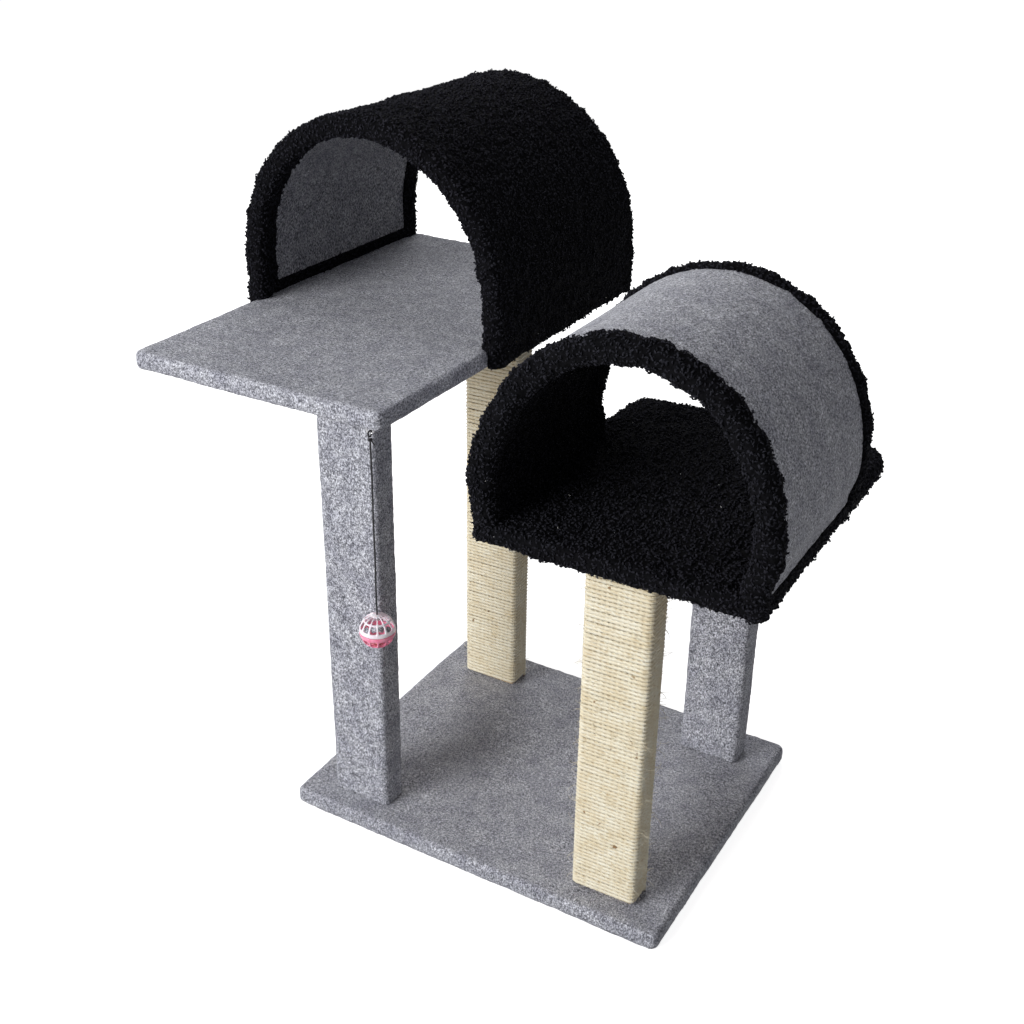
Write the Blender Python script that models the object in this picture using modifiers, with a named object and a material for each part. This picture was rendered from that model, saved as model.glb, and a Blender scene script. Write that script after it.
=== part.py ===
"""Cat tree: two decks on rectangular posts, a tunnel on each deck, a lattice ball on a cord.

Metres, +Z up, +X to the right along the front edge, +Y to the back. The origin is on the
floor, under the centre of the whole tree's bounding box.
"""

import math
from collections import namedtuple

import bmesh
import bpy
from mathutils import Matrix, Vector

GAP = 0.0003  # clearance between pieces that touch

# Boards, each a particle board core in a fabric wrap that is folded under its edges
BOARD = 0.012
CARPET = 0.0042
SHERPA = 0.006
Board = namedtuple("Board", "name x y z width depth cover fold front_round rear_round")
BASE = Board("base", 0.0, 0.0, 0.0, 0.480, 0.390, CARPET, 0.025, 0.008, 0.008)
UPPER = Board("upper_board", -0.2615, 0.081, 0.525, 0.330, 0.552, CARPET, 0.022, 0.008, 0.008)
LOWER = Board("lower_board", 0.1615, 0.0, 0.433, 0.310, 0.390, SHERPA, 0.025, 0.010, 0.030)
WRAP_EDGE = 0.003

# Posts
POST_X = 0.1615
FRONT_LEFT_X = -0.1628
REAR_LEFT_X = -0.1592
POST_FRONT = -0.149
POST_REAR = 0.143
POST_WIDTH = 0.067
POST_DEPTH = 0.027
POST_ROUND = 0.002
SISAL = 0.0048

# Tunnels. Half widths, springing and rise are those of the shell's inner face. The bent
# shell settles a little to one side, by its lean at the crown.
SHELL = 0.004
Arch = namedtuple("Arch", "board front rear half foot_half spring rise bulge_from lean")
UPPER_ARCH = Arch(UPPER, 0.014, 0.354, 0.1653, 0.1653, 0.589, 0.1794, 0.560, -0.004)
LOWER_ARCH = Arch(LOWER, -0.1915, 0.063, 0.1520, 0.1447, 0.496, 0.1714, 0.460, 0.008)
ARCH_STEPS = 24
OUTER_SHERPA = 0.008
LINING = 0.003
FRONT_MARGIN = 0.040
REAR_MARGIN = 0.028
FOOT_MARGIN = 0.011
FRONT_BAND = 0.017
REAR_BAND = 0.019
RIM_ROUND = 0.0025

# Screws: (length, shaft radius, head radius, head height)
POST_SCREW = (0.050, 0.0020, 0.0040, 0.0025)
SIDE_SCREW = (0.025, 0.0016, 0.0034, 0.0020)
SCREW_PITCH = 0.040
SIDE_SCREW_INSET = 0.060
SCREW_SIDES = 10

# Toy: a staple under the upper board, a cord looped on it, a ball in two halves, a bell
TOY_X = -0.113
TOY_Y = -0.1885
STAPLE_WIRE = 0.0006
STAPLE_WIDTH = 0.008
STAPLE_DROP = 0.0044
STAPLE_LEG = 0.013
CORD_RADIUS = 0.001
LOOP_RADIUS = 0.0031
KNOT_RADIUS = 0.0026
CORD_STEP = 0.0055
BALL_RADIUS = 0.020
BALL_WALL = 0.0016
BALL_Z = 0.286
RIB_COUNT = 12
RIB_STEPS = 4
LATITUDES = (5, 18, 30, 43, 50, 62, 74, 83, 89.57)
WINDOW_BANDS = ((18, 43), (50, 74))
BELL_RADIUS = 0.006
BELL_WALL = 0.0006


def at(x, y, z):
    """A place given from the base's centre, in the part's own frame."""
    return base_centre + Vector((x, y, z))


def empty_scene():
    for obj in list(bpy.data.objects):
        bpy.data.objects.remove(obj, do_unlink=True)
    for collection in list(bpy.data.collections):
        bpy.data.collections.remove(collection)


def new_collection(name):
    collection = bpy.data.collections.new(name)
    bpy.context.scene.collection.children.link(collection)
    return collection


def material(name, colour, roughness, metallic=0.0):
    made = bpy.data.materials.new(name)
    made.use_nodes = True
    shader = made.node_tree.nodes["Principled BSDF"]
    shader.inputs["Base Color"].default_value = (*colour, 1.0)
    shader.inputs["Roughness"].default_value = roughness
    shader.inputs["Metallic"].default_value = metallic
    made.diffuse_color = (*colour, 1.0)
    return made


def add_part(name, mesh_data, finish, place=(0, 0, 0)):
    """A named sub-part from a mesh in the making, shaded smooth across its shallow edges."""
    mesh = bpy.data.meshes.new(name)
    mesh_data.to_mesh(mesh)
    mesh_data.free()
    mesh.shade_smooth()
    mesh.set_sharp_from_angle(angle=math.radians(35))
    mesh.materials.append(finish)
    obj = bpy.data.objects.new(name, mesh)
    obj.location = place
    parts.objects.link(obj)
    return obj


def as_cutter(obj):
    """Turns a sub-part into a hidden cutter."""
    parts.objects.unlink(obj)
    cutters.objects.link(obj)
    obj.hide_render = True
    obj.display_type = "WIRE"
    return obj


def cut(obj, cutter):
    modifier = obj.modifiers.new(cutter.name, "BOOLEAN")
    modifier.operation = "DIFFERENCE"
    modifier.solver = "EXACT"
    modifier.object = cutter


def soften(obj, radius, segments=2):
    modifier = obj.modifiers.new("softened_edges", "BEVEL")
    modifier.width = radius
    modifier.segments = segments
    modifier.limit_method = "ANGLE"
    modifier.angle_limit = math.radians(50)


def block(width, depth, height, front_round=0.0, rear_round=0.0):
    """A slab centred on its origin, with its upright corners rounded."""
    made = bmesh.new()
    size = Matrix.Diagonal((width, depth, height, 1.0))
    bmesh.ops.create_cube(made, size=1.0, matrix=size)
    for radius, side in ((front_round, -1), (rear_round, 1)):
        corners = [
            edge
            for edge in made.edges
            if abs(edge.verts[0].co.z - edge.verts[1].co.z) > height / 2
            and edge.verts[0].co.y * side > 0
        ]
        if radius > 0:
            bmesh.ops.bevel(
                made,
                geom=corners,
                offset=radius,
                segments=4,
                profile=0.5,
                affect="EDGES",
                material=-1,
            )
    return made


# Boards -------------------------------------------------------------------------------


def board_top(board):
    return board.z + BOARD + 2 * (board.cover + GAP)


def board_core(board, name, finish):
    wrap = board.cover + GAP
    made = block(
        board.width - 2 * wrap,
        board.depth - 2 * wrap,
        BOARD,
        board.front_round - wrap + GAP,
        board.rear_round - wrap + GAP,
    )
    return add_part(name, made, finish, at(board.x, board.y, board.z + wrap + BOARD / 2))


def board_wrap(board, name, finish):
    """The fabric round a board: top, sides, and a fold underneath that leaves a window."""
    height = BOARD + 2 * (board.cover + GAP)
    middle = at(board.x, board.y, board.z + height / 2)
    outer = block(board.width, board.depth, height, board.front_round, board.rear_round)
    wrap = add_part(name, outer, finish, middle)
    soften(wrap, WRAP_EDGE)
    hollow = block(
        board.width - 2 * board.cover,
        board.depth - 2 * board.cover,
        BOARD + 2 * GAP,
        board.front_round - board.cover,
        board.rear_round - board.cover,
    )
    cut(wrap, as_cutter(add_part(name + "_hollow", hollow, finish, middle)))
    window = block(board.width - 2 * board.fold, board.depth - 2 * board.fold, height)
    below = middle - Vector((0, 0, height / 2))
    cut(wrap, as_cutter(add_part(name + "_window", window, finish, below)))
    return wrap


# Posts --------------------------------------------------------------------------------


def post_bottom():
    return board_top(BASE) + GAP


def post_length(board):
    """From the base's carpet to the bare core of the board above."""
    return board.z + board.cover - post_bottom()


def post_core(name, x, y, board, finish):
    length = post_length(board)
    made = block(POST_WIDTH, POST_DEPTH, length, POST_ROUND, POST_ROUND)
    return add_part(name, made, finish, at(x, y, post_bottom() + length / 2))


def post_cover(name, x, y, board, thickness, finish):
    """A sleeve round a post: an open tube given its thickness outwards."""
    length = post_length(board)
    inner_round = POST_ROUND + GAP
    made = block(POST_WIDTH + 2 * GAP, POST_DEPTH + 2 * GAP, length, inner_round, inner_round)
    ends = [face for face in made.faces if abs(face.normal.z) > 0.5]
    bmesh.ops.delete(made, geom=ends, context="FACES")
    sleeve = add_part(name, made, finish, at(x, y, post_bottom() + length / 2))
    wall = sleeve.modifiers.new("pile", "SOLIDIFY")
    wall.thickness = thickness
    wall.offset = 1.0
    wall.use_even_offset = True
    return sleeve


# Tunnels ------------------------------------------------------------------------------


def arch_path(arch, foot):
    """The shell's inner face as (x, z) points: up one leg, over the crown, down the other."""
    lift = arch.spring - arch.bulge_from
    leg = [(arch.foot_half, foot), (arch.foot_half, arch.bulge_from)]
    for step in (0.3, 0.65):
        ease = (1 - math.cos(math.pi * step)) / 2
        width = arch.foot_half + ease * (arch.half - arch.foot_half)
        leg.append((width, arch.bulge_from + step * lift))
    leg = [point for point in leg if point[1] >= foot]
    crown = []
    for step in range(ARCH_STEPS + 1):
        turn = math.pi * step / ARCH_STEPS
        crown.append((-arch.half * math.cos(turn), arch.spring + arch.rise * math.sin(turn)))
    left = [(-x, z) for x, z in leg]
    path = []
    for x, z in left + crown + leg[::-1]:
        share = max(0.0, (z - arch.bulge_from) / (arch.spring + arch.rise - arch.bulge_from))
        path.append(Vector((x + arch.lean * share * share * (3 - 2 * share), z)))
    return path


def offset_path(path, distance):
    """The path moved outwards by a distance, with mitred corners and level ends."""
    sides = []
    for start, end in zip(path, path[1:]):
        along = (end - start).normalized()
        sides.append(Vector((-along.y, along.x)))
    moved = [path[0] + Vector((-distance, 0))]
    for point, before, after in zip(path[1:], sides, sides[1:]):
        mitre = (before + after).normalized()
        moved.append(point + mitre * (distance / mitre.dot(before)))
    moved.append(path[-1] + Vector((distance, 0)))
    return moved


def find_base_centre():
    """Where the base's centre is, with the origin under the middle of the whole tree."""
    outside = offset_path(arch_path(UPPER_ARCH, UPPER.z), SHELL + GAP + OUTER_SHERPA)
    left = UPPER.x + min(point.x for point in outside)
    outside = offset_path(arch_path(LOWER_ARCH, LOWER.z), SHELL + GAP + SHERPA)
    right = LOWER.x + max(point.x for point in outside)
    front = TOY_Y - BALL_RADIUS
    rear = UPPER.y + UPPER.depth / 2
    return Vector((-(left + right) / 2, -(front + rear) / 2, 0))


def vault(name, arch, inner, outer, front, rear, foot, finish):
    """A bent sheet between two distances from the shell's inner face."""
    made = bmesh.new()
    path = offset_path(arch_path(arch, foot), inner)
    rail = [made.verts.new((point.x, front, point.y)) for point in path]
    edges = [made.edges.new(pair) for pair in zip(rail, rail[1:])]
    pulled = bmesh.ops.extrude_edge_only(made, edges=edges)["geom"]
    ends = [item for item in pulled if isinstance(item, bmesh.types.BMVert)]
    bmesh.ops.translate(made, verts=ends, vec=(0, rear - front, 0))
    made.normal_update()
    axis = Vector((0, (front + rear) / 2, arch.spring))
    if sum(face.normal.dot(face.calc_center_median() - axis) for face in made.faces) < 0:
        bmesh.ops.reverse_faces(made, faces=made.faces[:])
    sheet = add_part(name, made, finish, at(arch.board.x, 0, 0))
    wall = sheet.modifiers.new("wall", "SOLIDIFY")
    wall.thickness = outer - inner
    wall.offset = 1.0
    wall.use_even_offset = True
    return sheet


def shell_of(arch, name, edge_cover, foot, finish):
    """The bent plywood shell, set back from the tunnel's ends by the cover on its edges."""
    front = arch.front + edge_cover + GAP
    rear = arch.rear - edge_cover - GAP
    return vault(name, arch, 0, SHELL, front, rear, foot, finish)


def shell_pocket(arch, name, edge_cover, foot):
    """The space that a shell needs inside its neighbours."""
    front = arch.front + edge_cover
    rear = arch.rear - edge_cover
    made = vault(name, arch, -GAP, SHELL + GAP, front, rear, foot, materials["plywood"])
    return as_cutter(made)


def deck_pocket(arch, name):
    """The space of a board and the gap over it, cut from what stands on the board."""
    board = arch.board
    height = 0.060
    made = block(board.width + 2 * GAP, board.depth * 2, height)
    place = at(board.x, board.y, board_top(board) + GAP - height / 2)
    return as_cutter(add_part(name, made, materials["plywood"], place))


def upper_tunnel():
    """Plywood shell, black sherpa over it and folded in at every edge, grey lining inside."""
    arch = UPPER_ARCH
    deck = board_top(UPPER)
    under = UPPER.z + CARPET
    shell = shell_of(arch, "upper_arch_shell", OUTER_SHERPA, under, materials["plywood"])
    sherpa = vault(
        "upper_arch_sherpa",
        arch,
        -SHERPA - GAP,
        SHELL + GAP + OUTER_SHERPA,
        arch.front,
        arch.rear,
        UPPER.z,
        materials["sherpa_black"],
    )
    soften(sherpa, RIM_ROUND)
    cut(sherpa, shell_pocket(arch, "upper_shell_pocket", OUTER_SHERPA, under - GAP))
    cut(sherpa, deck_pocket(arch, "upper_deck_pocket"))
    window = vault(
        "upper_lining_window",
        arch,
        -0.020,
        0,
        arch.front + FRONT_MARGIN,
        arch.rear - REAR_MARGIN,
        deck + FOOT_MARGIN,
        materials["sherpa_black"],
    )
    cut(sherpa, as_cutter(window))
    vault(
        "upper_arch_lining",
        arch,
        -LINING - GAP,
        -GAP,
        arch.front + FRONT_MARGIN + GAP,
        arch.rear - REAR_MARGIN - GAP,
        deck + FOOT_MARGIN + GAP,
        materials["lining_grey"],
    )
    return shell


def lower_tunnel():
    """Plywood shell, sherpa lining folded out over both ends, grey carpet between the folds."""
    arch = LOWER_ARCH
    deck = board_top(LOWER)
    foot = LOWER.z + SHERPA + GAP
    shell = shell_of(arch, "lower_arch_shell", SHERPA, foot, materials["plywood"])
    sherpa = vault(
        "lower_arch_sherpa",
        arch,
        -SHERPA - GAP,
        SHELL + GAP + SHERPA,
        arch.front,
        arch.rear,
        deck + GAP,
        materials["sherpa_black"],
    )
    soften(sherpa, RIM_ROUND)
    cut(sherpa, shell_pocket(arch, "lower_shell_slot", SHERPA, LOWER.z))
    window = vault(
        "lower_carpet_window",
        arch,
        SHELL / 2,
        0.030,
        arch.front + FRONT_BAND,
        arch.rear - REAR_BAND,
        LOWER.z,
        materials["sherpa_black"],
    )
    cut(sherpa, as_cutter(window))
    vault(
        "lower_arch_carpet",
        arch,
        SHELL + GAP,
        SHELL + GAP + CARPET,
        arch.front + FRONT_BAND + GAP,
        arch.rear - REAR_BAND - GAP,
        deck + GAP,
        materials["carpet_grey"],
    )
    return shell


# Screws -------------------------------------------------------------------------------


def turned(name, profile, sides, finish, place, turn=(0, 0, 0)):
    """A solid turned about Z from a profile that runs down its outer side."""
    made = bmesh.new()
    points = [made.verts.new((x, 0, z)) for x, z in profile]
    for pair in zip(points, points[1:]):
        made.edges.new(pair)
    obj = add_part(name, made, finish, place)
    obj.rotation_euler = turn
    screw = obj.modifiers.new("turned", "SCREW")
    screw.axis = "Z"
    screw.steps = sides
    screw.render_steps = sides
    screw.use_merge_vertices = True
    screw.merge_threshold = 0.00001
    screw.use_smooth_shade = True
    return obj


def fasten(name, size, place, turn, held):
    """A countersunk screw with its head's face at place, and its hole in each piece it holds."""
    length, shaft, head, head_height = size
    profile = [(0, 0), (head, 0), (shaft, -head_height), (shaft, 0.003 - length), (0, -length)]
    turned(name, profile, SCREW_SIDES, materials["screw_steel"], place, turn)
    proud = 0.001
    hole = [
        (0, proud),
        (head + GAP, proud),
        (head + GAP, 0),
        (shaft + GAP, -head_height),
        (shaft + GAP, -length - GAP),
        (0, -length - GAP),
    ]
    bore = turned(name + "_hole", hole, SCREW_SIDES, materials["screw_steel"], place, turn)
    as_cutter(bore)
    for obj in held:
        cut(obj, bore)


def post_screws(post_name, x, y, board, held_above, base_pieces, core):
    """Two screws up through the base and two down through the board above, into one post."""
    upwards = (math.pi, 0, 0)
    downwards = (0, 0, 0)
    for side, offset in (("left", -SCREW_PITCH / 2), ("right", SCREW_PITCH / 2)):
        head = at(x + offset, y, BASE.z + BASE.cover + GAP)
        held = base_pieces + [core]
        fasten(f"{post_name}_base_screw_{side}", POST_SCREW, head, upwards, held)
        head = at(x + offset, y, board.z + board.cover + GAP + BOARD)
        held = [held_above, core]
        fasten(f"{post_name}_top_screw_{side}", POST_SCREW, head, downwards, held)


def side_screws(arch, shell, held, tunnel_name):
    """Two screws on each side, through the shell's leg into the edge of the board's core."""
    board = arch.board
    height = board.z + board.cover + GAP + BOARD / 2
    reach = arch.foot_half + SHELL
    rows = (("front", arch.front + SIDE_SCREW_INSET), ("rear", arch.rear - SIDE_SCREW_INSET))
    for row, y in rows:
        for side, sign in (("left", -1), ("right", 1)):
            name = f"{tunnel_name}_screw_{row}_{side}"
            turn = (0, sign * math.pi / 2, 0)
            fasten(name, SIDE_SCREW, at(board.x + sign * reach, y, height), turn, [shell] + held)


# Toy ----------------------------------------------------------------------------------


def tube(name, points, radius, finish, place, closed=False):
    curve = bpy.data.curves.new(name, "CURVE")
    curve.dimensions = "3D"
    curve.bevel_depth = radius
    curve.bevel_resolution = 2
    curve.use_fill_caps = not closed
    spline = curve.splines.new("POLY")
    spline.points.add(len(points) - 1)
    for spot, point in zip(spline.points, points):
        spot.co = (*point, 1.0)
    spline.use_cyclic_u = closed
    curve.materials.append(finish)
    obj = bpy.data.objects.new(name, curve)
    obj.location = place
    parts.objects.link(obj)
    return obj


def staple(held):
    """A wire staple driven up through the board's front fold, with its bar left standing proud."""
    place = at(TOY_X, TOY_Y, UPPER.z)
    half = STAPLE_WIDTH / 2
    bend = 0.001
    route = [
        (-half, 0, STAPLE_LEG),
        (-half, 0, bend - STAPLE_DROP),
        (bend - half, 0, -STAPLE_DROP),
        (half - bend, 0, -STAPLE_DROP),
        (half, 0, bend - STAPLE_DROP),
        (half, 0, STAPLE_LEG),
    ]
    tube("toy_staple", route, STAPLE_WIRE, materials["staple_steel"], place)
    for side in (-half, half):
        made = bmesh.new()
        bmesh.ops.create_cone(
            made,
            cap_ends=True,
            segments=8,
            radius1=STAPLE_WIRE + GAP,
            radius2=STAPLE_WIRE + GAP,
            depth=2 * (STAPLE_LEG + GAP),
        )
        name = "staple_hole_left" if side < 0 else "staple_hole_right"
        hole = add_part(name, made, materials["staple_steel"], place + Vector((side, 0, 0)))
        as_cutter(hole)
        for obj in held:
            cut(obj, hole)


def knot(name, height):
    made = bmesh.new()
    bmesh.ops.create_icosphere(made, subdivisions=2, radius=KNOT_RADIUS)
    return add_part(name, made, materials["cord_black"], at(TOY_X, TOY_Y, height))


def cord():
    """A loop round the staple's bar, a knot, the hanging cord, and a knot inside the ball."""
    bar = UPPER.z - STAPLE_DROP
    loop_centre = bar + STAPLE_WIRE + GAP + CORD_RADIUS - LOOP_RADIUS
    ring = []
    for step in range(14):
        turn = 2 * math.pi * step / 14
        ring.append((0, LOOP_RADIUS * math.sin(turn), LOOP_RADIUS * math.cos(turn)))
    place = at(TOY_X, TOY_Y, loop_centre)
    tube("cord_loop", ring, CORD_RADIUS, materials["cord_black"], place, closed=True)
    top_knot = loop_centre - LOOP_RADIUS - CORD_RADIUS - GAP - KNOT_RADIUS
    knot("cord_top_knot", top_knot)
    end_knot = BALL_Z + BALL_RADIUS - BALL_WALL - GAP - KNOT_RADIUS
    knot("cord_end_knot", end_knot)
    length = top_knot - end_knot - 2 * (KNOT_RADIUS + GAP)
    count = round(length / CORD_STEP)
    route = [(0, 0, -length * step / count) for step in range(count + 1)]
    place = at(TOY_X, TOY_Y, top_knot - KNOT_RADIUS - GAP)
    tube("toy_cord", route, CORD_RADIUS, materials["cord_black"], place)


def ball_half(name, finish, turn):
    """Half of a lattice ball: two tiers of windows between ribs that meet at the pole."""
    made = bmesh.new()
    profile = []
    for latitude in LATITUDES:
        angle = math.radians(latitude)
        spot = (BALL_RADIUS * math.sin(angle), 0, BALL_RADIUS * math.cos(angle))
        profile.append(made.verts.new(spot))
    edges = [made.edges.new(pair) for pair in zip(profile, profile[1:])]
    sides = RIB_COUNT * RIB_STEPS
    bmesh.ops.spin(
        made,
        geom=profile + edges,
        cent=(0, 0, 0),
        axis=(0, 0, 1),
        dvec=(0, 0, 0),
        angle=2 * math.pi,
        steps=sides,
        use_merge=True,
    )
    bmesh.ops.remove_doubles(made, verts=made.verts[:], dist=0.000001)
    bmesh.ops.recalc_face_normals(made, faces=made.faces[:])
    windows = []
    for face in made.faces:
        middle = face.calc_center_median()
        polar = math.degrees(middle.angle(Vector((0, 0, 1))))
        column = int(math.degrees(math.atan2(middle.y, middle.x)) % 360 / (360 / sides))
        in_band = any(low < polar < high for low, high in WINDOW_BANDS)
        if in_band and column % RIB_STEPS:
            windows.append(face)
    bmesh.ops.delete(made, geom=windows, context="FACES")
    if made.faces[:][0].normal.dot(made.faces[:][0].calc_center_median()) < 0:
        bmesh.ops.reverse_faces(made, faces=made.faces[:])
    half = add_part(name, made, finish, at(TOY_X, TOY_Y, BALL_Z))
    half.rotation_euler = turn
    wall = half.modifiers.new("wall", "SOLIDIFY")
    wall.thickness = BALL_WALL
    wall.offset = -1.0
    return half


def bell():
    """A round jingle bell of thin brass, slotted across its underside."""
    made = bmesh.new()
    bmesh.ops.create_uvsphere(made, u_segments=12, v_segments=8, radius=BELL_RADIUS)
    slot = [
        face
        for face in made.faces
        if face.calc_center_median().z < -0.4 * BELL_RADIUS
        and abs(face.calc_center_median().y) < 0.22 * BELL_RADIUS
    ]
    bmesh.ops.delete(made, geom=slot, context="FACES")
    height = BALL_Z - BALL_RADIUS + BALL_WALL + GAP + BELL_RADIUS
    obj = add_part("bell", made, materials["bell_brass"], at(TOY_X, TOY_Y, height))
    wall = obj.modifiers.new("wall", "SOLIDIFY")
    wall.thickness = BELL_WALL
    wall.offset = -1.0


# The tree -----------------------------------------------------------------------------


def build():
    base_pieces = [
        board_core(BASE, "base_board", materials["particle_board"]),
        board_wrap(BASE, "base_carpet", materials["carpet_grey"]),
    ]
    upper_core = board_core(UPPER, "upper_board", materials["particle_board"])
    upper_wrap = board_wrap(UPPER, "upper_board_carpet", materials["carpet_grey"])
    lower_core = board_core(LOWER, "lower_board", materials["particle_board"])
    lower_wrap = board_wrap(LOWER, "lower_board_sherpa", materials["sherpa_black"])

    posts = (
        ("front_left_post", FRONT_LEFT_X, POST_FRONT, UPPER, upper_core, "carpet"),
        ("rear_left_post", REAR_LEFT_X, POST_REAR, UPPER, upper_core, "sisal"),
        ("front_right_post", POST_X, POST_FRONT, LOWER, lower_core, "sisal"),
        ("rear_right_post", POST_X, POST_REAR, LOWER, lower_core, "carpet"),
    )
    for name, x, y, board, above, covering in posts:
        core = post_core(name, x, y, board, materials["pine"])
        if covering == "sisal":
            post_cover(name + "_sisal", x, y, board, SISAL, materials["sisal"])
        else:
            post_cover(name + "_carpet", x, y, board, CARPET, materials["carpet_grey"])
        post_screws(name, x, y, board, above, base_pieces, core)

    upper_shell = upper_tunnel()
    lower_shell = lower_tunnel()
    slot = bpy.data.objects["lower_shell_slot"]
    pocket = shell_pocket(LOWER_ARCH, "lower_shell_notch", SHERPA, LOWER.z + SHERPA)
    cut(lower_core, slot)
    cut(lower_wrap, pocket)
    side_screws(UPPER_ARCH, upper_shell, [upper_wrap, upper_core], "upper_arch")
    side_screws(LOWER_ARCH, lower_shell, [lower_core], "lower_arch")

    staple([upper_wrap, upper_core])
    cord()
    ball_half("ball_upper_half", materials["ball_white"], (0, 0, 0))
    ball_half("ball_lower_half", materials["ball_pink"], (math.pi, 0, 0))
    bell()


empty_scene()
base_centre = find_base_centre()
parts = new_collection("cat_tree")
cutters = new_collection("cutters")
materials = {
    "carpet_grey": material("carpet_grey", (0.36, 0.36, 0.38), 0.95),
    "lining_grey": material("lining_grey", (0.30, 0.30, 0.32), 0.95),
    "sherpa_black": material("sherpa_black", (0.012, 0.012, 0.013), 0.98),
    "sisal": material("sisal", (0.72, 0.66, 0.50), 0.90),
    "particle_board": material("particle_board", (0.52, 0.38, 0.24), 0.80),
    "plywood": material("plywood", (0.62, 0.47, 0.30), 0.70),
    "pine": material("pine", (0.70, 0.53, 0.33), 0.70),
    "screw_steel": material("screw_steel", (0.62, 0.60, 0.55), 0.35, 1.0),
    "staple_steel": material("staple_steel", (0.60, 0.60, 0.62), 0.30, 1.0),
    "cord_black": material("cord_black", (0.010, 0.010, 0.010), 0.85),
    "ball_white": material("ball_white", (0.86, 0.80, 0.80), 0.35),
    "ball_pink": material("ball_pink", (0.85, 0.22, 0.38), 0.35),
    "bell_brass": material("bell_brass", (0.78, 0.58, 0.26), 0.30, 1.0),
}
build()
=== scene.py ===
import math
import random

import bmesh
import bpy
import numpy as np
from mathutils import Matrix, Vector, noise


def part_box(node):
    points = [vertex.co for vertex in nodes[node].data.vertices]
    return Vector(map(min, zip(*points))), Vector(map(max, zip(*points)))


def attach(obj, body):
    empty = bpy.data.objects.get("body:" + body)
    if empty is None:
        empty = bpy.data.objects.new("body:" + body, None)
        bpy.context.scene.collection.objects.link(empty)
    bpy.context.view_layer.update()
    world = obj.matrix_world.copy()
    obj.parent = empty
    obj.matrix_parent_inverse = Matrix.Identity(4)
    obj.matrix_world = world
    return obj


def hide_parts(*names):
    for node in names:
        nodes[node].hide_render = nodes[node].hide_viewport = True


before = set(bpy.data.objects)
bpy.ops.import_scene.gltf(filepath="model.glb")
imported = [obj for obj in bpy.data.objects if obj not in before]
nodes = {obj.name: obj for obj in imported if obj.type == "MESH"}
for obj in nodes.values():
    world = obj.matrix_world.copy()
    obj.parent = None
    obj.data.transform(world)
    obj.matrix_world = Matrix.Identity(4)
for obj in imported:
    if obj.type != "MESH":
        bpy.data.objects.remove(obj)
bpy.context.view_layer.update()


# Studio ---------------------------------------------------------------------------------
# A pale seamless floor, a broad soft light low on the front left, a weak one overhead, one
# behind on the left for the far sides, and an even sky. The camera stands at the front right,
# a little over a metre up, and looks down.

scene = bpy.context.scene
scene.view_settings.view_transform = "Standard"


def add(tree, kind, inputs=(), **settings):
    """A shader node. An input given as a socket is linked, and any other value is set."""
    made = tree.nodes.new("ShaderNode" + kind)
    for key, value in settings.items():
        setattr(made, key, value)
    for key, value in dict(inputs).items():
        if isinstance(value, bpy.types.NodeSocket):
            tree.links.new(value, made.inputs[key])
        else:
            made.inputs[key].default_value = value
    return made


def finish(name, roughness, metallic=0.0):
    """A material with its node tree and its shader."""
    made = bpy.data.materials.new(name)
    made.use_nodes = True
    shader = made.node_tree.nodes["Principled BSDF"]
    shader.inputs["Roughness"].default_value = roughness
    shader.inputs["Metallic"].default_value = metallic
    return made, made.node_tree, shader


FLOOR_HALF = 25
FLOOR_DROP = 0.0006
floor_shape = bmesh.new()
bmesh.ops.create_grid(floor_shape, x_segments=2, y_segments=2, size=FLOOR_HALF)
floor = bpy.data.objects.new("floor", bpy.data.meshes.new("floor"))
floor_shape.to_mesh(floor.data)
floor_shape.free()
scene.collection.objects.link(floor)
floor.location.z = -FLOOR_DROP
floor.visible_diffuse = False
floor_paint, tree, shader = finish("floor_paint", 0.9)
shader.inputs["Base Color"].default_value = (0.84, 0.84, 0.845, 1)
shader.inputs["Specular IOR Level"].default_value = 0.1
shader.inputs["Emission Color"].default_value = (1, 1, 1, 1)
shader.inputs["Emission Strength"].default_value = 0.80
floor.data.materials.append(floor_paint)

AIM = Vector((0.02, -0.05, 0.36))


def soft_light(name, direction, distance, size, power):
    lamp = bpy.data.lights.new(name, "AREA")
    lamp.shape = "DISK"
    lamp.size = size
    lamp.energy = power
    obj = bpy.data.objects.new(name, lamp)
    towards = Vector(direction).normalized()
    obj.location = AIM + towards * distance
    obj.rotation_euler = towards.to_track_quat("Z", "Y").to_euler()
    scene.collection.objects.link(obj)


soft_light("front_light", (-0.40, -0.87, 0.33), 3.0, 2.1, 90)
soft_light("top_light", (-0.30, 0.10, 0.95), 1.9, 1.2, 5)
soft_light("back_light", (-0.40, 0.82, 0.42), 3.0, 1.6, 30)

world = bpy.data.worlds.new("sky")
scene.world = world
world.use_nodes = True
tree = world.node_tree
seen = add(tree, "LightPath").outputs["Is Camera Ray"]
strength = add(tree, "Mix", {"Factor": seen, "A": 0.25, "B": 1.0}).outputs["Result"]
background = tree.nodes["Background"]
background.inputs["Color"].default_value = (1.0, 1.0, 1.02, 1)
tree.links.new(strength, background.inputs["Strength"])

YAW = math.radians(30.0)
PITCH = math.radians(27.66)
ROLL = math.radians(0.84)
ahead = Vector((-math.sin(YAW) * math.cos(PITCH), math.cos(YAW) * math.cos(PITCH), -math.sin(PITCH)))
level = Vector((math.cos(YAW), math.sin(YAW), 0))
upright = level.cross(ahead)
side = level * math.cos(ROLL) + upright * math.sin(ROLL)
over = upright * math.cos(ROLL) - level * math.sin(ROLL)
lens = bpy.data.cameras.new("camera")
lens.lens = 47.84
lens.sensor_width = 36.0
lens.clip_start = 0.05
lens.clip_end = 100
camera = bpy.data.objects.new("camera", lens)
camera.matrix_world = Matrix.Translation((0.69303, -1.27123, 1.08681)) @ Matrix(
    (side, over, -ahead)
).transposed().to_4x4()
scene.collection.objects.link(camera)
scene.camera = camera


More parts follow.
